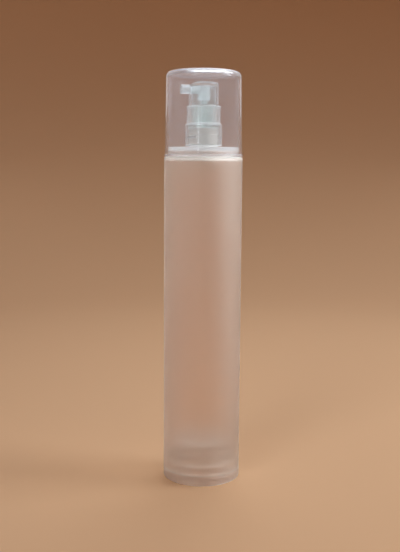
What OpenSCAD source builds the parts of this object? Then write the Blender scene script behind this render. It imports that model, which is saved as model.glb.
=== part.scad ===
// Pump oil bottle: an airless bottle with a follower piston, a snap-fit pump and a clear overcap.
// Millimetres, +Z up. The foot of the barrel is at z = 0 and the bottle's centre line is the Z axis.
// The spout points along -X. Everything is drawn at rest: pump up, follower piston down, cap on.

/* [Barrel] */
// Outside diameter of the barrel
barrel_d = 38; // [30:0.5:50]
// Wall thickness of the barrel
barrel_wall = 1.6; // [1.2:0.1:2.4]
// Height of the ledge that the overcap stands on
ledge_z = 159.3; // [110:0.1:190]
// Diameter of the raised shoulder that the overcap slips over
shoulder_d = 34.4; // [26:0.1:46]
// Height of the raised shoulder above the ledge
shoulder_h = 4.5; // [3:0.1:8]
// Thickness of the shoulder
shoulder_t = 1.6; // [1.2:0.1:2.4]

/* [Neck] */
// Outside diameter of the neck
neck_d = 13.8; // [12:0.1:16]
// Wall thickness of the neck
neck_wall = 1.3; // [1:0.1:2]
// Height of the neck above the shoulder
neck_h = 8.8; // [6:0.1:14]
// Diameter of the snap bead round the neck
neck_bead_d = 14.9; // [13:0.1:17]

/* [Overcap] */
// Height of the overcap
cap_h = 40.7; // [34:0.1:60]
// Outside diameter of the overcap just above its lip
cap_bottom_d = 37.3; // [29:0.1:49]
// Outside diameter of the overcap below its rounded top edge
cap_top_d = 36.2; // [28:0.1:48]
// Wall thickness of the overcap
cap_wall = 1.3; // [0.8:0.1:2]
// Radius of the rounded top edge
cap_edge_r = 2.5; // [1:0.1:5]
// Height of the lip at the mouth of the overcap
cap_lip_h = 1.1; // [0.6:0.1:3]

/* [Base plug] */
// Height of the plug's rim above the foot
plug_rim_z = 5; // [3:0.1:10]
// Thickness of the plug's floor and skirt
plug_wall = 1.15; // [0.8:0.05:2]
// Diameter of the air vent in the plug
vent_d = 1.8; // [1:0.1:3]

/* [Follower piston] */
// Height of the piston's sealing sleeve
sleeve_h = 8.95; // [6:0.05:16]
// Diameter of the crown that nests in the shoulder
crown_d = 26.8; // [20:0.1:30]
// Height of the crown above the sleeve
crown_h = 5.3; // [3:0.1:8]
// Diameter of the well that clears the pump housing
well_d = 10.8; // [10:0.1:16]
// Depth of the well
well_depth = 7.2; // [6:0.1:10]

/* [Collar] */
// Outside diameter of the collar's lower tier
collar_d = 17.9; // [16:0.1:22]
// Outside diameter of the collar's upper tier
collar_top_d = 16.4; // [14:0.1:20]
// Depth of the well in the upper tier that the actuator sinks into
collar_well_h = 7.7; // [6:0.1:12]
// Wall thickness of the upper tier
collar_top_wall = 0.9; // [0.7:0.05:1.5]
// Half of the angle that each inner snap lug covers
lug_half_angle = 48; // [20:1:80]

/* [Actuator] */
// Outside diameter of the actuator's skirt
skirt_d = 14.4; // [12:0.1:18]
// Wall thickness of the skirt
skirt_wall = 1.3; // [0.8:0.05:2]
// Height of the actuator
actuator_h = 12.5; // [9:0.1:20]
// Outside diameter of the spout
spout_d = 4.4; // [3:0.1:6]
// Reach of the spout's tip from the pump axis
spout_reach = 11.2; // [9:0.1:16]
// Bore of the spout
spout_bore = 2.2; // [1:0.1:3]
// Outside diameter of the boss that holds the stem
boss_d = 6; // [5:0.1:8]

/* [Pump] */
// Length of the pump's stroke
stroke = 5; // [3:0.1:7]
// Bore of the pump chamber
chamber_d = 7.4; // [5:0.1:9]
// Height of the chamber floor above the foot
chamber_floor_z = 158.4; // [150:0.1:162]
// Free travel of the pump piston along the stem
lost_motion = 0.8; // [0.4:0.1:1.5]
// Outside diameter of the stem where the actuator grips it
stem_top_d = 3.9; // [3:0.1:5]
// Outside diameter of the stem below that
stem_d = 3.1; // [2.4:0.1:4]
// Bore of the stem
stem_bore = 1.9; // [1:0.1:2.4]
// Diameter of the inlet ball
ball_d = 3; // [2:0.1:4]
// Wire diameter of the return spring
wire_d = 0.42; // [0.3:0.01:0.8]
// Turns of the return spring
spring_turns = 5; // [3:0.5:10]
// Mean diameter of the return spring
spring_d = 5.5; // [4:0.1:6.4]

/* [Hidden] */
$fn = 96;
eps = 0.01;
frosted = [0.84, 0.85, 0.84, 0.55];   // frosted natural plastic
clear = [0.90, 0.92, 0.93, 0.35];     // clear plastic
natural = [0.88, 0.90, 0.87, 0.7];    // translucent natural plastic
white = [0.93, 0.93, 0.91];           // seals
steel = [0.75, 0.76, 0.78];           // spring and ball

// fits
running_gap = 0.1;                    // radial gap of a moving plastic pair
plug_gap = 0.07;                      // radial gap of a seal or plug in its bore

// barrel
barrel_r = barrel_d / 2;
bore_r = barrel_r - barrel_wall;
shoulder_r = shoulder_d / 2;
shoulder_ri = shoulder_r - shoulder_t;
shoulder_z = ledge_z + shoulder_h;
ceiling_z = shoulder_z - shoulder_t;
neck_r = neck_d / 2;
neck_ri = neck_r - neck_wall;
neck_z = shoulder_z + neck_h;
neck_bead_r = neck_bead_d / 2;
neck_bead_z = neck_z - 2.9;           // underside of the snap bead
plug_bead_z = plug_rim_z - 2;         // middle of the plug's snap bead
plug_bead = 0.2;                      // how far the plug's bead stands out

// stack of rings clamped on the neck
gasket_t = 0.6;
housing_flange_t = 1;
turret_flange_t = 0.9;
shelf_t = 0.7;
flange_r = 7.4;
housing_z = neck_z + gasket_t;                // underside of the housing's flange
turret_z = housing_z + housing_flange_t;      // underside of the turret's flange
shelf_z = turret_z + turret_flange_t;         // underside of the collar's shelf
well_z = shelf_z + shelf_t;                   // floor of the collar's well

// collar and actuator
collar_r = collar_d / 2;
collar_top_r = collar_top_d / 2;
collar_z0 = shoulder_z + 0.5;
collar_step_z = shelf_z - 0.2;
collar_z1 = well_z + collar_well_h;
collar_ri = collar_r - 1.15;
skirt_r = skirt_d / 2;
skirt_ri = skirt_r - skirt_wall;
skirt_z = collar_z1 - 1.5;                    // lower edge of the skirt
actuator_z1 = skirt_z + actuator_h;
actuator_plate_t = 1.7;
spout_r = spout_d / 2;
spout_z = actuator_z1 - 1.1 - spout_r;
boss_r = boss_d / 2;
boss_z = spout_z - spout_r - 3;               // lower end of the boss

// turret, which guides the stem
turret_r = skirt_ri - running_gap;
turret_wall = 1.05;
turret_z1 = collar_z1;
recess_r = boss_r + 0.2;                      // recess that the boss sinks into
recess_z = boss_z - stroke - 0.6;

// chamber, piston and stem
chamber_r = chamber_d / 2;
housing_r = chamber_r + 0.9;
housing_z1 = turret_z + 3.8;                  // top of the chamber tube, inside the turret
stem_top_r = stem_top_d / 2;
stem_r = stem_d / 2;
stem_bore_r = stem_bore / 2;
stem_z1 = spout_z - spout_bore / 2;           // top of the stem, below the spout's bore
stem_neck_z = skirt_z + 2.6;                  // where the stem narrows
spring_r = spring_d / 2;
wire_r = wire_d / 2;
rod_z = chamber_floor_z + 7.5;                // underside of the rod's flange
rod_flange_t = 0.7;
piston_z0 = rod_z + rod_flange_t + 0.15;      // lower end of the pump piston
piston_h = 4.25;
stop_z = piston_z0 + piston_h + lost_motion + 0.05;  // underside of the stem's stop ring
guide_z = stop_z + 0.65;                      // lower end of the turret's guide tube

// inlet valve
inlet_r = 0.9;
pocket_r = ball_d / 2 + 0.18;
pocket_z = chamber_floor_z - 1.5;             // top of the valve seat
nozzle_z = chamber_floor_z - 3.1;             // lower end of the housing
seat_z = nozzle_z + 0.75;                     // foot of the valve seat
seat_a = atan((pocket_z - seat_z) / (pocket_r - inlet_r));
ball_z = seat_z + (ball_d / 2 + eps - inlet_r * sin(seat_a)) / cos(seat_a);

// follower piston
sleeve_z0 = plug_rim_z + 0.05;
sleeve_z1 = sleeve_z0 + sleeve_h;
crown_z = sleeve_z1 + crown_h;
crown_r = crown_d / 2;
seal_r = bore_r - plug_gap;
web_z = sleeve_z0 + 3.4;                      // underside of the piston's web
piston_wall = 1;

// overcap
cap_z = ledge_z + 0.03;
cap_z1 = ledge_z + cap_h;
cap_ri0 = shoulder_r + running_gap;

// points of an arc about c, from angle a0 to a1, in n steps
function arc(c, r, a0, a1, n = 5) =
    [for (i = [0:n]) let (a = a0 + (a1 - a0) * i / n) [c[0] + r * cos(a), c[1] + r * sin(a)]];

// a corner of a profile at p, rounded to radius r; a0 is the angle of the side it comes from
function corner(p, r, a0, a1, sx, sz, n = 4) = arc([p[0] + sx * r, p[1] + sz * r], r, a0, a1, n);

module revolve(points, angle = 360) {
    rotate_extrude(angle = angle) polygon(points);
}

// ---- bottle ----

// One-piece frosted barrel: bore for the follower piston, raised shoulder and snap neck
module barrel() {
    groove_r = bore_r + plug_bead + 0.08;
    color(frosted) revolve(concat(
        [[bore_r + 0.25, 0]],
        corner([barrel_r, 0], 0.6, -90, 0, -1, 1),
        corner([barrel_r, ledge_z], 0.9, 0, 90, -1, -1, 5),
        [[shoulder_r, ledge_z], [shoulder_r, ledge_z + 2.5], [shoulder_r + 0.07, ledge_z + 2.8],
         [shoulder_r + 0.07, ledge_z + 3.1], [shoulder_r, ledge_z + 3.4]],
        corner([shoulder_r, shoulder_z], 0.5, 0, 90, -1, -1),
        arc([neck_r + 0.5, shoulder_z + 0.5], 0.5, 270, 180, 4),
        [[neck_r, neck_bead_z], [neck_bead_r, neck_bead_z + 0.15], [neck_bead_r, neck_bead_z + 0.6],
         [neck_r, neck_bead_z + 1.9], [neck_r, neck_z - 0.3], [neck_r - 0.3, neck_z],
         [neck_ri + 0.2, neck_z], [neck_ri, neck_z - 0.2], [neck_ri, ceiling_z]],
        corner([shoulder_ri, ceiling_z], 0.8, 90, 0, -1, -1),
        [[shoulder_ri, ledge_z - 0.1], [bore_r, ledge_z - 1.9],
         [bore_r, plug_bead_z + 0.7], [groove_r, plug_bead_z + 0.4],
         [groove_r, plug_bead_z - 0.4], [bore_r, plug_bead_z - 0.7], [bore_r, 0.4]]
    ));
}

// Snap-in plug that closes the foot, with a vent that lets air in behind the follower
module base_plug() {
    r = bore_r - plug_gap;
    ri = r - plug_wall;
    z0 = 0.5;
    floor_z = z0 + 0.4;
    color(frosted) revolve(concat(
        [[vent_d / 2, floor_z], [ri - 0.8, floor_z], [ri - 0.2, z0], [r - 0.25, z0], [r, z0 + 0.3],
         [r, plug_bead_z - 0.6], [r + plug_bead, plug_bead_z - 0.25],
         [r + plug_bead, plug_bead_z + 0.25], [r, plug_bead_z + 0.6]],
        corner([r, plug_rim_z], 0.3, 0, 90, -1, -1, 3),
        corner([ri, plug_rim_z], 0.3, 90, 180, 1, -1, 3),
        arc([ri - 0.8, floor_z + plug_wall + 0.8], 0.8, 0, -90, 4),
        [[vent_d / 2, floor_z + plug_wall]]
    ));
}

// Follower piston: two wiping lips, a web, a hollow crown and a well for the pump housing
module follower_piston() {
    lip = seal_r;
    ro = seal_r - 0.55;
    ri = ro - 0.9;
    well_r = well_d / 2;
    well_z = crown_z - well_depth;
    t = piston_wall;
    color(white) revolve(concat(
        [[ri + 0.5, sleeve_z0], [lip - 0.15, sleeve_z0], [lip, sleeve_z0 + 0.2], [lip, sleeve_z0 + 0.7],
         [ro, sleeve_z0 + 1.9], [ro, sleeve_z1 - 1.9], [lip, sleeve_z1 - 0.7], [lip, sleeve_z1 - 0.2],
         [lip - 0.15, sleeve_z1], [lip - 0.75, sleeve_z1], [ri, sleeve_z1 - 1.7]],
        arc([ri - 0.6, web_z + t + 0.6], 0.6, 0, -90, 3),
        arc([crown_r + 0.6, web_z + t + 0.6], 0.6, 270, 180, 3),
        corner([crown_r, crown_z], 0.8, 0, 90, -1, -1),
        arc([well_r + 0.6, crown_z - 0.6], 0.6, 90, 180, 4),
        arc([well_r - 0.6, well_z + 0.6], 0.6, 0, -90, 3),
        [[0, well_z], [0, well_z - t]],
        corner([well_r + t, well_z - t], 0.8, -90, 0, -1, 1, 3),
        [[well_r + t, crown_z - t], [crown_r - t, crown_z - t], [crown_r - t, web_z],
         [ri, web_z], [ri, sleeve_z0 + 0.9]]
    ));
}

// Clear overcap: one drafted shell with a rounded top edge and a thicker lip at its mouth
module overcap() {
    r0 = cap_bottom_d / 2;
    r1 = cap_top_d / 2;
    ri1 = r1 - cap_wall;
    dome = 0.25;                                      // rise of the top at its centre
    dome_r = r1 - cap_edge_r;
    dome_n = 6;
    ei = cap_edge_r - 0.7;                            // radius of the inner edge
    function rise(x) = dome * (1 - pow(x / dome_r, 2));
    color(clear) revolve(concat(
        [[cap_ri0 + 0.25, cap_z], [barrel_r - 0.2, cap_z], [barrel_r, cap_z + 0.2],
         [barrel_r, cap_z + cap_lip_h - 0.2], [barrel_r - 0.15, cap_z + cap_lip_h],
         [r0 + 0.05, cap_z + cap_lip_h + 0.1], [r0, cap_z + cap_lip_h + 0.2]],
        arc([dome_r, cap_z1 - dome - cap_edge_r], cap_edge_r, 0, 88, 10),
        [for (i = [dome_n - 1:-1:0]) let (x = dome_r * i / dome_n) [x, cap_z1 - dome + rise(x)]],
        [for (i = [0:dome_n - 1]) let (x = (ri1 - ei) * i / dome_n) [x, cap_z1 - cap_wall - dome + rise(x)]],
        arc([ri1 - ei, cap_z1 - dome - cap_wall - ei], ei, 88, 0, 8),
        [[cap_ri0, shoulder_z + 1], [cap_ri0, cap_z + 0.25]]
    ));
}

// ---- pump: fixed pieces ----

// Two-tier snap collar: lugs under the neck bead, a shelf that clamps the pump, a well for the actuator
module collar() {
    lug_z = neck_bead_z - 1.4;
    color(clear) {
        revolve(concat(
            [[collar_ri + 0.25, collar_z0], [collar_r - 0.2, collar_z0], [collar_r, collar_z0 + 0.2]],
            corner([collar_r, collar_step_z], 0.5, 0, 90, -1, -1),
            [[collar_top_r, collar_step_z]],
            corner([collar_top_r, collar_z1], 0.25, 0, 90, -1, -1, 3),
            corner([collar_top_r - collar_top_wall, collar_z1], 0.25, 90, 180, 1, -1, 3),
            [[collar_top_r - collar_top_wall, well_z], [turret_r + 0.12, well_z],
             [turret_r + 0.12, shelf_z], [collar_ri, shelf_z], [collar_ri, collar_z0 + 0.3]]
        ));
        for (a = [0, 180]) rotate(a - lug_half_angle)
            revolve([[collar_ri + 0.1, lug_z - 0.3], [collar_ri + 0.1, lug_z + 1.2],
                     [neck_r + 0.25, lug_z + 1.1], [neck_r + 0.25, lug_z + 0.7]], 2 * lug_half_angle);
    }
}

// Soft ring between the neck and the housing's flange
module neck_gasket() {
    color(white) revolve([[neck_ri + 0.1, neck_z], [neck_r + 0.3, neck_z],
                          [neck_r + 0.3, housing_z], [neck_ri + 0.1, housing_z]]);
}

// Pump chamber with its flange, the inlet valve's seat and the fingers that cage the ball
module pump_housing() {
    plug_r = neck_ri - 0.05;
    color(natural) {
        revolve([
            [inlet_r, nozzle_z], [pocket_r + 0.5, nozzle_z], [pocket_r + 0.75, nozzle_z + 0.3],
            [pocket_r + 0.75, chamber_floor_z - 1.4], [housing_r - 0.9, chamber_floor_z - 0.9],
            [housing_r, chamber_floor_z], [housing_r, housing_z - 2],
            [plug_r - 0.15, housing_z - 2], [plug_r, housing_z - 1.7], [plug_r, housing_z],
            [flange_r, housing_z], [flange_r, turret_z], [housing_r, turret_z],
            [housing_r, housing_z1 - 0.2], [housing_r - 0.2, housing_z1], [chamber_r + 0.2, housing_z1],
            [chamber_r, housing_z1 - 0.2], [chamber_r, chamber_floor_z], [pocket_r, chamber_floor_z],
            [pocket_r, pocket_z], [inlet_r, seat_z]
        ]);
        for (a = [0, 120, 240]) rotate(a) ball_finger();
    }
}

// One finger of the ball cage, standing on the chamber floor inside the spring
module ball_finger() {
    r = pocket_r + 0.06;
    rotate(-18) revolve([[r, chamber_floor_z - 0.3], [r + 0.5, chamber_floor_z - 0.3],
                         [r + 0.5, chamber_floor_z + 1.6], [r + 0.2, chamber_floor_z + 1.95],
                         [r - 0.4, chamber_floor_z + 1.95], [r - 0.4, chamber_floor_z + 1.6],
                         [r, chamber_floor_z + 1.2]], 36);
}

// Turret: closes the chamber, guides the stem and carries the actuator's skirt
module pump_turret() {
    tube_ri = turret_r - turret_wall;
    guide_r = chamber_r - 0.1;
    step_z = housing_z1 + 0.6;
    color(natural) revolve(concat(
        [[tube_ri, turret_z], [flange_r, turret_z], [flange_r, shelf_z], [turret_r, shelf_z]],
        corner([turret_r, turret_z1], 0.4, 0, 90, -1, -1),
        [[recess_r + 0.2, turret_z1], [recess_r, turret_z1 - 0.2], [recess_r, recess_z],
         [stem_top_r + 0.1, recess_z - 0.5], [stem_top_r + 0.1, recess_z - 1.7],
         [stem_r + 0.08, recess_z - 2.2], [stem_r + 0.08, guide_z], [guide_r - 0.2, guide_z],
         [guide_r, guide_z + 0.2], [guide_r, step_z], [recess_r + 0.75, step_z + 0.4],
         [recess_r + 0.75, turret_z1 - 0.8], [tube_ri, turret_z1 - 0.8]]
    ));
}

// ---- pump: moving pieces ----

// Hollow stem with a stop ring and two side ports just above the piston rod
module stem() {
    ring_r = stem_r + 1.05;
    color(natural) difference() {
        revolve([
            [stem_bore_r, piston_z0 + 0.1], [stem_r, piston_z0 + 0.1],
            [stem_r, stop_z], [ring_r, stop_z], [ring_r, guide_z - 0.05], [stem_r, guide_z - 0.05],
            [stem_r, stem_neck_z], [stem_top_r, stem_neck_z + 0.8],
            [stem_top_r, stem_z1 - 0.2], [stem_top_r - 0.2, stem_z1], [stem_bore_r, stem_z1]
        ]);
        translate([0, 0, piston_z0 + 0.55]) rotate([90, 0, 0])
            cylinder(d = 0.7, h = stem_d + 1, center = true, $fn = 24);
    }
}

// Rod: a plug in the foot of the stem, a flange that the spring pushes on, flats for the oil to pass
module piston_rod() {
    pin_r = stem_bore_r - 0.04;
    color(natural) {
        revolve([[0, rod_z], [spring_r + wire_r + 0.12, rod_z], [spring_r + wire_r + 0.12, rod_z - 0.6],
                 [spring_r + wire_r + 0.37, rod_z - 0.6], [spring_r + wire_r + 0.37, rod_z + 0.45],
                 [stem_r + 0.7, rod_z + rod_flange_t], [0, rod_z + rod_flange_t]]);
        intersection() {
            translate([0, 0, rod_z + 0.1]) cylinder(r = pin_r, h = rod_flange_t + 4.2, $fn = 32);
            translate([-pin_r, -pin_r * 0.55, rod_z]) cube([2 * pin_r, pin_r * 1.1, rod_flange_t + 5]);
        }
    }
}

// Soft piston that slides a little on the stem: at rest its foot seals on the rod, lower down the ports open
module pump_piston() {
    ri = stem_r + 0.05;
    hub_r = stem_r + 0.8;
    lip_r = chamber_r - 0.04;
    ring_r = lip_r - 0.15;
    ring_ri = ring_r - 0.45;
    z1 = piston_z0 + piston_h;
    web_z0 = piston_z0 + 1.7;
    color(white) revolve([
        [ri, piston_z0], [hub_r - 0.25, piston_z0], [hub_r, piston_z0 + 0.3], [hub_r, web_z0],
        [ring_ri, web_z0], [ring_ri, piston_z0 + 0.5], [ring_ri + 0.2, piston_z0 + 0.15],
        [lip_r, piston_z0 + 0.15], [lip_r, piston_z0 + 0.45], [ring_r, piston_z0 + 1],
        [ring_r, z1 - 0.7], [lip_r, z1 - 0.15], [lip_r, z1 + 0.15], [ring_ri + 0.2, z1 + 0.15],
        [ring_ri, z1 - 0.2], [ring_ri, web_z0 + 0.8], [hub_r, web_z0 + 0.8], [hub_r, z1], [ri, z1]
    ]);
}

// Return spring: a closed tube swept along a helix, its end turns lying flat
module return_spring() {
    steps = 22;                                       // per turn
    sides = 8;
    n = spring_turns * steps;
    z0 = chamber_floor_z + wire_r + 0.02;
    rise = rod_z - chamber_floor_z - wire_d - 0.04;
    flat = steps * 0.75;                              // steps of each closed end
    function climb(i) = rise * min(1, max(0, (i - flat) / (n - 2 * flat)));
    function section(i) = [for (k = [0:sides - 1])
        let (a = 360 * i / steps, b = 360 * k / sides, r = spring_r + wire_r * cos(b))
        [r * cos(a), r * sin(a), z0 + climb(i) + wire_r * sin(b)]];
    points = [for (i = [0:n]) each section(i)];
    tube = [for (i = [0:n - 1], k = [0:sides - 1])
        let (k1 = (k + 1) % sides)
        [i * sides + k, (i + 1) * sides + k, (i + 1) * sides + k1, i * sides + k1]];
    ends = [[for (k = [0:sides - 1]) k], [for (k = [sides - 1:-1:0]) n * sides + k]];
    color(steel) polyhedron(points, concat(tube, ends), convexity = 8);
}

module inlet_ball() {
    color(steel) translate([0, 0, ball_z]) sphere(d = ball_d, $fn = 40);
}

// Actuator: thimble with a bevelled front, boss for the stem and a bored spout
module actuator() {
    top_r = 1.1;
    bevel_x = 4.6;                                    // where the bevel starts, from the pump axis
    plate_z = actuator_z1 - actuator_plate_t;
    color(natural) difference() {
        union() {
            difference() {
                revolve(concat(
                    [[skirt_ri + 0.2, skirt_z], [skirt_r - 0.15, skirt_z], [skirt_r, skirt_z + 0.15]],
                    corner([skirt_r, actuator_z1], top_r, 0, 90, -1, -1, 6),
                    [[0, actuator_z1 - 0.25], [0, plate_z]],
                    corner([skirt_ri, plate_z], 0.5, 90, 0, -1, -1, 3),
                    [[skirt_ri, skirt_z + 0.2]]
                ));
                // bevel above the spout
                translate([-bevel_x, 0, actuator_z1]) rotate([0, -28, 0])
                    translate([-6, -skirt_r, 0]) cube([12, skirt_d, 6]);
            }
            translate([0, 0, boss_z]) cylinder(r = boss_r, h = plate_z - boss_z + 0.5, $fn = 64);
            translate([0, 0, spout_z]) rotate([0, -90, 0]) cylinder(r = spout_r, h = spout_reach, $fn = 48);
        }
        // socket for the stem
        translate([0, 0, boss_z - 1]) cylinder(r = stem_top_r + 0.02, h = stem_z1 - boss_z + 1.05, $fn = 48);
        translate([0, 0, boss_z - eps]) cylinder(r1 = stem_top_r + 0.3, r2 = stem_top_r, h = 0.4, $fn = 48);
        // oil way: up from the stem, then out along the spout
        translate([0, 0, stem_z1]) cylinder(d = stem_bore, h = spout_z - stem_z1, $fn = 32);
        translate([0, 0, spout_z]) rotate([0, -90, 0]) {
            translate([0, 0, -stem_bore_r]) cylinder(d = spout_bore, h = spout_reach + 2, $fn = 32);
            translate([0, 0, spout_reach - 1.2]) cylinder(d1 = spout_bore, d2 = spout_d - 1, h = 1.2 + eps, $fn = 48);
        }
    }
}

barrel();
base_plug();
follower_piston();
overcap();
collar();
neck_gasket();
pump_housing();
pump_turret();
stem();
piston_rod();
pump_piston();
return_spring();
inlet_ball();
actuator();
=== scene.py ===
"""Pump oil bottle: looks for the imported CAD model. Metres, the row's frame."""
import math

import bmesh
import bpy
from mathutils import Matrix, Vector


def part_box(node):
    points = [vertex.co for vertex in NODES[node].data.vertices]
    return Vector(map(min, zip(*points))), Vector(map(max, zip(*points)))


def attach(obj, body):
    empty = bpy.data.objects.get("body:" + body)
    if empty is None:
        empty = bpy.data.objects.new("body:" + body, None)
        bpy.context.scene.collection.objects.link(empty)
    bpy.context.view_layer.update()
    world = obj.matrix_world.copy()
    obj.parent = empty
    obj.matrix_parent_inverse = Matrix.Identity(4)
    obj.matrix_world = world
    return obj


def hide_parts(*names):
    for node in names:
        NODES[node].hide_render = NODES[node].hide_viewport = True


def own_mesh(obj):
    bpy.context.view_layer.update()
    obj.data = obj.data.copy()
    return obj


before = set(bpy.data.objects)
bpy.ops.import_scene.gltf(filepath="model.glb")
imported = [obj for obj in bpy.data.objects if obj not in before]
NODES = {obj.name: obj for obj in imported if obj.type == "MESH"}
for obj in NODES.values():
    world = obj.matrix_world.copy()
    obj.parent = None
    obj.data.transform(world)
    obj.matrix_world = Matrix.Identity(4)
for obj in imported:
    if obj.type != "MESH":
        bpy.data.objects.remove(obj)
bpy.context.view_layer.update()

MM = 0.001

# ---- camera, at the photograph's viewing angle ----

CAMERA_DISTANCE = 413 * MM
CAMERA_HEIGHT = 154.7 * MM
CAMERA_PITCH = 7.4          # degrees down
CAMERA_PAN = 0.17           # degrees to the left, which puts the bottle just right of the middle
CAMERA_ROLL = 0.37          # degrees
CLIP_START = 10 * MM
LENS = 55.0                 # in millimetres, as is the sensor's long side
SENSOR = 36.0
SPOUT_TURN = 15.0           # degrees that the camera stands round towards the spout

# the camera and the lamps are placed as if the camera stood along -Y, and then turned
STUDIO_TURN = Matrix.Rotation(math.radians(-SPOUT_TURN), 4, "Z")


def make_camera():
    """The camera, aimed as in the photograph."""
    camera = bpy.data.cameras.new("camera")
    camera.sensor_width = SENSOR
    camera.lens = LENS
    camera.clip_start = CLIP_START
    obj = bpy.data.objects.new("camera", camera)
    bpy.context.scene.collection.objects.link(obj)
    place = Matrix.Translation((0, -CAMERA_DISTANCE, CAMERA_HEIGHT))
    aim = (Matrix.Rotation(math.radians(CAMERA_PAN), 4, "Z")
           @ Matrix.Rotation(math.radians(90 - CAMERA_PITCH), 4, "X")
           @ Matrix.Rotation(math.radians(CAMERA_ROLL), 4, "Z"))
    obj.matrix_world = STUDIO_TURN @ place @ aim
    bpy.context.scene.camera = obj


# ---- shader building blocks ----

NOISE_LOW, NOISE_HIGH = 0.25, 0.75      # nearly all of a noise texture lies between these


def new_material(name):
    """A material with only a Principled BSDF and an output; returns it with its tree and the shader."""
    mat = bpy.data.materials.new(name)
    mat.use_nodes = True
    tree = mat.node_tree
    shader = next(n for n in tree.nodes if n.type == "BSDF_PRINCIPLED")
    return mat, tree, shader


def noise(tree, scale, detail=3.0, stretch=(1, 1, 1)):
    """A noise texture in object coordinates; a stretch under 1 makes its pattern longer on that axis."""
    coords = tree.nodes.new("ShaderNodeTexCoord")
    mapping = tree.nodes.new("ShaderNodeMapping")
    mapping.inputs["Scale"].default_value = stretch
    texture = tree.nodes.new("ShaderNodeTexNoise")
    texture.inputs["Scale"].default_value = scale
    texture.inputs["Detail"].default_value = detail
    tree.links.new(coords.outputs["Object"], mapping.inputs["Vector"])
    tree.links.new(mapping.outputs["Vector"], texture.inputs["Vector"])
    return texture.outputs["Fac"]


def vary(tree, source, low, high, target):
    """Feeds target with a noise, mapped to low..high."""
    ramp = tree.nodes.new("ShaderNodeMapRange")
    ramp.inputs["From Min"].default_value = NOISE_LOW
    ramp.inputs["From Max"].default_value = NOISE_HIGH
    ramp.inputs["To Min"].default_value = low
    ramp.inputs["To Max"].default_value = high
    tree.links.new(source, ramp.inputs["Value"])
    tree.links.new(ramp.outputs["Result"], target)


def tint(tree, source, first, second, target):
    """Feeds a colour socket with a blend of two colours; a colour is a triple or a socket."""
    mix = tree.nodes.new("ShaderNodeMix")
    mix.data_type = "RGBA"
    # a Mix node's sockets 6 and 7 and its output 2 are those for colours
    for socket, colour in zip(mix.inputs[6:8], (first, second)):
        if isinstance(colour, tuple):
            socket.default_value = (*colour, 1)
        else:
            tree.links.new(colour, socket)
    tree.links.new(source, mix.inputs[0])
    tree.links.new(mix.outputs[2], target)
    return mix.outputs[2]


def bump(tree, source, height, shader):
    """Surface relief, height in metres."""
    node = tree.nodes.new("ShaderNodeBump")
    node.inputs["Strength"].default_value = 1.0
    node.inputs["Distance"].default_value = height
    tree.links.new(source, node.inputs["Height"])
    tree.links.new(node.outputs["Normal"], shader.inputs["Normal"])


def light_passes(tree, shader, share):
    """Lets the lamps reach what is inside the plastic: a shadow ray goes straight on, dimmed to share."""
    path = tree.nodes.new("ShaderNodeLightPath")
    clear = tree.nodes.new("ShaderNodeBsdfTransparent")
    clear.inputs["Color"].default_value = (share, share, share, 1)
    mix = tree.nodes.new("ShaderNodeMixShader")
    output = next(n for n in tree.nodes if n.type == "OUTPUT_MATERIAL")
    tree.links.new(path.outputs["Is Shadow Ray"], mix.inputs[0])
    tree.links.new(shader.outputs[0], mix.inputs[1])
    tree.links.new(clear.outputs[0], mix.inputs[2])
    tree.links.new(mix.outputs[0], output.inputs["Surface"])


def maths(tree, operation, *values):
    """The output of a Math node; a value is a number or a socket."""
    node = tree.nodes.new("ShaderNodeMath")
    node.operation = operation
    for socket, value in zip(node.inputs, values):
        if isinstance(value, (int, float)):
            socket.default_value = value
        else:
            tree.links.new(value, socket)
    return node.outputs[0]


def surface_point(tree):
    """The x, y and z sockets of the point on the surface."""
    coords = tree.nodes.new("ShaderNodeTexCoord")
    split = tree.nodes.new("ShaderNodeSeparateXYZ")
    tree.links.new(coords.outputs["Object"], split.inputs[0])
    return split.outputs[0], split.outputs[1], split.outputs[2]


# ---- masks: where the plastic is solid, and bands along rims and ledges that are partly or wholly painted highlight lines ----

SOFT_EDGE = 0.4 * MM        # a mask falls from 1 to 0 over this
RIM = 0.4 * MM              # a rim band, milkier and so lighter, reaches this far from its edge: painted highlight lines, on the collar and the overcap partly the longer way through the plastic
CAP_RIM = 0.7 * MM          # the same for the overcap's foot and top, partly the longer way through the plastic there and partly a painted highlight
PLUG_RIM_HIGHLIGHT = 0.1 * MM         # the same for the plug's, a painted highlight line on its top rim
PLUG_HIGHLIGHT_LINE = 0.05 * MM       # the same for a painted highlight line in the barrel's wall, where the plug's rim shows through
SHOULDER_DEPTH = 1.6 * MM   # the barrel's shoulder band, a painted highlight on its top edge, reaches this far down, which is the depth of the shoulder's wall

PLUG_TOP = 5.0 * MM         # height of the plug's rim
BARREL_LEDGE = 159.3 * MM   # height of the ledge that the overcap stands on
BARREL_SHOULDER = 163.8 * MM    # height of the shoulder's top
COLLAR_STEP = 174.9 * MM    # height of the ledge between the collar's tiers
CAP_EDGE = 1.0 * MM         # middle of the overcap's rounded edge, below its top

BOSS_RADIUS = 3.0 * MM
SPOUT_HEIGHT = 191.2 * MM   # of its axis
SPOUT_RADIUS = 2.2 * MM
SPOUT_MILKINESS = 0.5       # of the boss's, where the spout stands out of the skirt
SKIRT_RADIUS = 7.2 * MM


def soft_mask(tree, away, reach):
    """1 where away is under reach, falling to 0 over SOFT_EDGE."""
    inside = maths(tree, "DIVIDE", maths(tree, "SUBTRACT", reach + SOFT_EDGE, away), SOFT_EDGE)
    return maths(tree, "MINIMUM", maths(tree, "MAXIMUM", inside, 0.0), 1.0)


def rod(tree, a, b, radius):
    """1 within radius of the line where the sockets a and b are both 0."""
    squares = maths(tree, "ADD", maths(tree, "MULTIPLY", a, a), maths(tree, "MULTIPLY", b, b))
    return soft_mask(tree, maths(tree, "SQRT", squares), radius)


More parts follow.
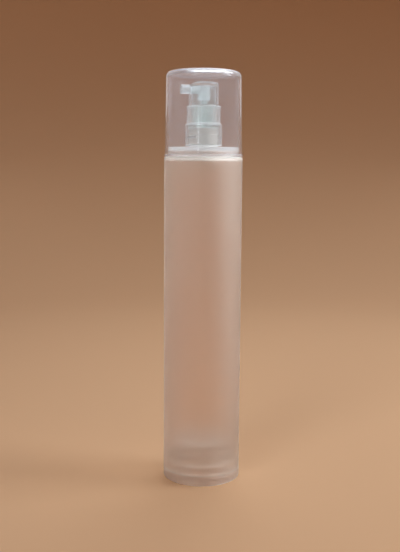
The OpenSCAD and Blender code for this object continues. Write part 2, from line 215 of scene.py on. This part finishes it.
def solid_core(tree):
    """A mask that is 1 in the actuator's solid boss and the root of its spout, less in the spout's open
    end, and 0 in its skirt."""
    x, y, z = surface_point(tree)
    boss = rod(tree, x, y, BOSS_RADIUS)
    height = maths(tree, "SUBTRACT", z, SPOUT_HEIGHT)
    spout = maths(tree, "MULTIPLY", rod(tree, y, height, SPOUT_RADIUS), maths(tree, "LESS_THAN", x, 0.0))
    outside = maths(tree, "LESS_THAN", x, -SKIRT_RADIUS + SOFT_EDGE)
    lost = maths(tree, "MULTIPLY", outside, 1 - SPOUT_MILKINESS)
    spout = maths(tree, "MULTIPLY", spout, maths(tree, "SUBTRACT", 1.0, lost))
    return maths(tree, "MAXIMUM", boss, spout)


def rim(height, reach=RIM):
    """The span of a band round this height, for bands: a rim, or the painted highlight line where the
    plug's rim shows through the barrel.
    """
    return height - reach, height + reach


def bands(*spans):
    """A mask that is 1 from the lower to the upper height of each span."""
    def mask(tree):
        z = surface_point(tree)[2]
        total = 0.0
        for low, high in spans:
            away = maths(tree, "ABSOLUTE", maths(tree, "SUBTRACT", z, (low + high) / 2))
            total = maths(tree, "MAXIMUM", total, soft_mask(tree, away, (high - low) / 2))
        return total
    return mask


# ---- materials ----

PLASTIC_IOR = 1.49
WALL_EDGE = 0.45            # share of the way from facing to grazing where a tube's wall is seen edge-on
FLOW_SCALE = 40.0           # of the flow streaks' noise
FLOW_STRETCH = (1, 1, 0.12)     # the streaks run along Z
GLOSS_SCALE = 90.0          # of the noise in the roughness


def plastic(name, dark, light, clearness, rough, passes, grain, edge=0.0, thick_and_highlit=None, highlight_milk=None):
    """Moulded plastic: colour and roughness drift a little, with faint flow streaks along the mould.
    clearness is what each face lets through, and passes what each lets through of a lamp's light.
    grain is the scale of its relief and the height in millimetres. Seen along its surface, a curved
    wall is crossed over a longer way, so its clearness falls by up to edge. The argument after edge gives
    a mask and the clearness where it is 1, and the last argument the colour there: milkier, lighter
    plastic where it is solid, and in bands along rims and ledges, where that lightness is painted
    highlight, in part or whole."""
    mat, tree, shader = new_material(name)
    flow = noise(tree, FLOW_SCALE, stretch=FLOW_STRETCH)
    colour = tint(tree, flow, dark, light, shader.inputs["Base Color"])
    vary(tree, noise(tree, GLOSS_SCALE, detail=4.0), *rough, shader.inputs["Roughness"])
    shader.inputs["IOR"].default_value = PLASTIC_IOR
    shader.inputs["Transmission Weight"].default_value = clearness
    loss = 0.0
    if thick_and_highlit:
        mask, milky = thick_and_highlit
        solid_and_highlight_mask = mask(tree)
        loss = maths(tree, "MULTIPLY", solid_and_highlight_mask, clearness - milky)
        if highlight_milk:
            tint(tree, solid_and_highlight_mask, colour, highlight_milk, shader.inputs["Base Color"])
    if edge:
        grazing = tree.nodes.new("ShaderNodeLayerWeight")
        grazing.inputs["Blend"].default_value = 0.5
        along = maths(tree, "MAXIMUM", maths(tree, "SUBTRACT", grazing.outputs["Facing"], WALL_EDGE), 0.0)
        loss = maths(tree, "ADD", loss, maths(tree, "MULTIPLY", along, edge / (1 - WALL_EDGE)))
    if thick_and_highlit or edge:
        tree.links.new(maths(tree, "SUBTRACT", clearness, loss), shader.inputs["Transmission Weight"])
    scale, height = grain
    bump(tree, noise(tree, scale, detail=2.0), height * MM, shader)
    light_passes(tree, shader, passes)
    return mat


def frosted_plastic():
    """The barrel: frosted, yet clear enough to show what stands behind it as a blur."""
    # milkier, lighter bands at the plug's rim height, on the ledge's edge and on the shoulder's top edge
    # are painted highlight lines, tinted by the colour given last
    shoulder = (BARREL_SHOULDER - SHOULDER_DEPTH, BARREL_SHOULDER + RIM)
    rim_and_highlight_bands = bands(rim(PLUG_TOP, PLUG_HIGHLIGHT_LINE), rim(BARREL_LEDGE), shoulder)
    return plastic("frosted_plastic", dark=(0.94, 0.83, 0.76), light=(0.98, 0.9, 0.84),
                   clearness=0.965, rough=(0.5, 0.58), passes=0.64, grain=(5200.0, 0.003),
                   thick_and_highlit=(rim_and_highlight_bands, 0.62), highlight_milk=(0.93, 0.94, 0.92))


def clear_plastic():
    """The overcap."""
    foot, top = (corner[2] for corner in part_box("overcap"))
    # milkier, lighter bands at the foot and the rounded top edge: partly the longer way through the
    # plastic, partly a painted highlight
    rim_and_highlight_bands = bands(rim(foot, CAP_RIM), rim(top - CAP_EDGE, CAP_RIM))
    return plastic("clear_plastic", dark=(0.93, 0.93, 0.99), light=(0.98, 0.97, 1.0),
                   clearness=0.925, rough=(0.06, 0.1), passes=0.94, grain=(140.0, 0.002),
                   edge=0.16, thick_and_highlit=(rim_and_highlight_bands, 0.75))


def collar_plastic():
    """The two-tier collar."""
    foot, top = (corner[2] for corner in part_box("collar"))
    # milkier, lighter bands at the foot, the step and the top: partly the longer way through each rim,
    # partly painted highlight lines
    rim_and_highlight_bands = bands(rim(foot), rim(COLLAR_STEP), rim(top))
    return plastic("collar_plastic", dark=(0.93, 0.97, 0.96), light=(0.97, 0.99, 0.98),
                   clearness=0.865, rough=(0.03, 0.06), passes=0.86, grain=(700.0, 0.002),
                   edge=0.3, thick_and_highlit=(rim_and_highlight_bands, 0.62))


def natural_plastic():
    """The pump's hard pieces, of uncoloured plastic."""
    return plastic("natural_plastic", dark=(0.88, 0.96, 0.94), light=(0.94, 0.98, 0.97),
                   clearness=0.895, rough=(0.06, 0.1), passes=0.9, grain=(1200.0, 0.002), edge=0.2)


def actuator_plastic():
    """The actuator, milky where it is solid."""
    return plastic("actuator_plastic", dark=(0.87, 0.92, 0.92), light=(0.91, 0.95, 0.95),
                   clearness=0.92, rough=(0.04, 0.08), passes=0.9, grain=(1200.0, 0.002),
                   edge=0.25, thick_and_highlit=(solid_core, 0.5))


def follower_plastic():
    """The follower piston, which shows through the barrel only as a haze."""
    return plastic("follower_plastic", dark=(0.93, 0.86, 0.80), light=(0.97, 0.92, 0.87),
                   clearness=0.975, rough=(0.5, 0.6), passes=0.86, grain=(2500.0, 0.004))


def plug_plastic():
    """The base plug."""
    # the milkier, lighter band at the plug's top rim is a painted highlight line
    return plastic("plug_plastic", dark=(0.86, 0.76, 0.69), light=(0.92, 0.83, 0.77),
                   clearness=0.985, rough=(0.5, 0.6), passes=0.42, grain=(2500.0, 0.003),
                   edge=0.05, thick_and_highlit=(bands(rim(PLUG_TOP, PLUG_RIM_HIGHLIGHT)), 0.55))


def seal_plastic():
    """The neck gasket and the pump's piston, both soft."""
    return plastic("seal_plastic", dark=(0.90, 0.93, 0.92), light=(0.95, 0.97, 0.96),
                   clearness=0.6, rough=(0.3, 0.4), passes=0.8, grain=(2500.0, 0.006))


def steel():
    """Bright steel for the spring and the ball."""
    mat, tree, shader = new_material("spring_steel")
    tint(tree, noise(tree, 500.0), (0.55, 0.56, 0.58), (0.68, 0.69, 0.71), shader.inputs["Base Color"])
    vary(tree, noise(tree, 3000.0, detail=2.0), 0.2, 0.34, shader.inputs["Roughness"])
    shader.inputs["Metallic"].default_value = 1.0
    bump(tree, noise(tree, 6000.0, detail=2.0), 0.003 * MM, shader)
    return mat


FINISHES = {
    "barrel": frosted_plastic,
    "base_plug": plug_plastic,
    "follower_piston": follower_plastic,
    "overcap": clear_plastic,
    "collar": collar_plastic,
    "neck_gasket": seal_plastic,
    "pump_housing": natural_plastic,
    "pump_turret": natural_plastic,
    "stem": natural_plastic,
    "piston_rod": natural_plastic,
    "pump_piston": seal_plastic,
    "return_spring": steel,
    "inlet_ball": steel,
    "actuator": actuator_plastic,
}


def finish_nodes():
    """Gives each CAD node its material; nodes of one finish share it."""
    made = {}
    for name, recipe in FINISHES.items():
        if recipe not in made:
            made[recipe] = recipe()
        materials = NODES[name].data.materials
        materials.clear()
        materials.append(made[recipe])


# ---- return spring ----

def make_spring():
    """A smooth-shaded twin of the CAD spring, which rides on the container."""
    mesh = NODES["return_spring"].data.copy()
    coil = bpy.data.objects.new("return_spring_coil", mesh)
    bpy.context.scene.collection.objects.link(coil)
    for face in mesh.polygons:
        face.use_smooth = True
    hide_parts("return_spring")
    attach(coil, "container")
    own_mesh(coil)


# ---- studio ----

STAGE_COLOUR = (0.68, 0.43, 0.26)
STAGE_DRIFT = 0.985         # the paper's darker patches, as a share of its colour
SWEEP_FLOOR = 0.55          # radius of the flat floor
SWEEP_CURVE = 0.45          # radius of the curve up to the wall
SWEEP_HEIGHT = 1.7
SWEEP_SIDES = 96
SWEEP_STEPS = 16            # along the curve

LAMP_COLOUR = (0.9, 0.97, 1.0)
LAMPS = (
    # name, place, height on the bottle that it faces, size, power in watts, spread in degrees
    ("back_softbox", (0.12, 0.62, 0.78), 0.12, (0.5, 0.35), 0.94, 140),
    ("top_softbox", (0.12, 0.3, 0.95), 0.12, (0.5, 0.5), 0.94, 140),
    ("side_softbox", (0.68, 0.0, 0.6), 0.1, (0.4, 0.4), 2.0, 140),
    ("front_fill", (-0.42, -0.76, 0.64), 0.12, (0.4, 0.35), 0.35, 60),
    ("edge_softbox", (-0.34, 0.72, 0.42), 0.12, (0.1, 0.4), 0.12, 180),
    ("edge_softbox", (0.34, 0.72, 0.42), 0.12, (0.1, 0.4), 0.12, 180),
    ("front_strip", (-0.2, -0.77, 0.21), 0.18, (0.02, 0.085), 0.053, 180),
)
WORLD_COLOUR = (0.93, 0.96, 1.0)
WORLD_STRENGTH = 0.29


def stage_material():
    """Plain pale tan paper."""
    mat, tree, shader = new_material("stage_paper")
    dark = tuple(c * STAGE_DRIFT for c in STAGE_COLOUR)
    tint(tree, noise(tree, 6.0, detail=2.0), dark, STAGE_COLOUR, shader.inputs["Base Color"])
    shader.inputs["Roughness"].default_value = 0.9
    shader.inputs["Specular IOR Level"].default_value = 0.1
    return mat


def make_sweep():
    """Paper cyclorama round the bottle: a round floor that curves up into a wall, open at the top."""
    angles = (math.pi / 2 * i / SWEEP_STEPS for i in range(SWEEP_STEPS + 1))
    profile = [(SWEEP_FLOOR + SWEEP_CURVE * math.sin(a), SWEEP_CURVE - SWEEP_CURVE * math.cos(a))
               for a in angles]
    profile.append((SWEEP_FLOOR + SWEEP_CURVE, SWEEP_HEIGHT))
    mesh = bpy.data.meshes.new("sweep")
    paper = bmesh.new()
    centre = paper.verts.new((0, 0, 0))
    rings = []
    for radius, z in profile:
        rings.append([paper.verts.new((radius * math.cos(t), radius * math.sin(t), z))
                      for t in (2 * math.pi * k / SWEEP_SIDES for k in range(SWEEP_SIDES))])
    for k in range(SWEEP_SIDES):
        after = (k + 1) % SWEEP_SIDES
        paper.faces.new((centre, rings[0][k], rings[0][after]))
        for low, high in zip(rings, rings[1:]):
            paper.faces.new((low[k], high[k], high[after], low[after]))
    for face in paper.faces:
        face.smooth = True
    paper.to_mesh(mesh)
    paper.free()
    mesh.materials.append(stage_material())
    sweep = bpy.data.objects.new("sweep", mesh)
    bpy.context.scene.collection.objects.link(sweep)


def make_lamp(name, place, aim_height, size, power, spread):
    """A soft rectangular lamp that faces the bottle's axis at aim_height."""
    light = bpy.data.lights.new(name, "AREA")
    light.shape = "RECTANGLE"
    light.size, light.size_y = size
    light.energy = power
    light.color = LAMP_COLOUR
    light.spread = math.radians(spread)
    obj = bpy.data.objects.new(name, light)
    bpy.context.scene.collection.objects.link(obj)
    obj.location = STUDIO_TURN @ Vector(place)
    towards = Vector((0, 0, aim_height)) - obj.location
    obj.rotation_euler = towards.to_track_quat("-Z", "Y").to_euler()


def make_world():
    """Dim, even light, which comes in through the sweep's open top."""
    world = bpy.data.worlds.new("studio")
    world.use_nodes = True
    background = next(n for n in world.node_tree.nodes if n.type == "BACKGROUND")
    background.inputs["Color"].default_value = (*WORLD_COLOUR, 1)
    background.inputs["Strength"].default_value = WORLD_STRENGTH
    bpy.context.scene.world = world


def make_studio():
    """The paper and the light."""
    make_sweep()
    for lamp in LAMPS:
        make_lamp(*lamp)
    make_world()


# ---- scene ----

RAY_BOUNCES = 40            # a ray through the cap and the pump crosses many nested walls

make_camera()
finish_nodes()
make_spring()
make_studio()
scene = bpy.context.scene
scene.view_settings.view_transform = "Standard"
scene.cycles.max_bounces = RAY_BOUNCES
scene.cycles.transmission_bounces = RAY_BOUNCES
scene.cycles.transparent_max_bounces = RAY_BOUNCES
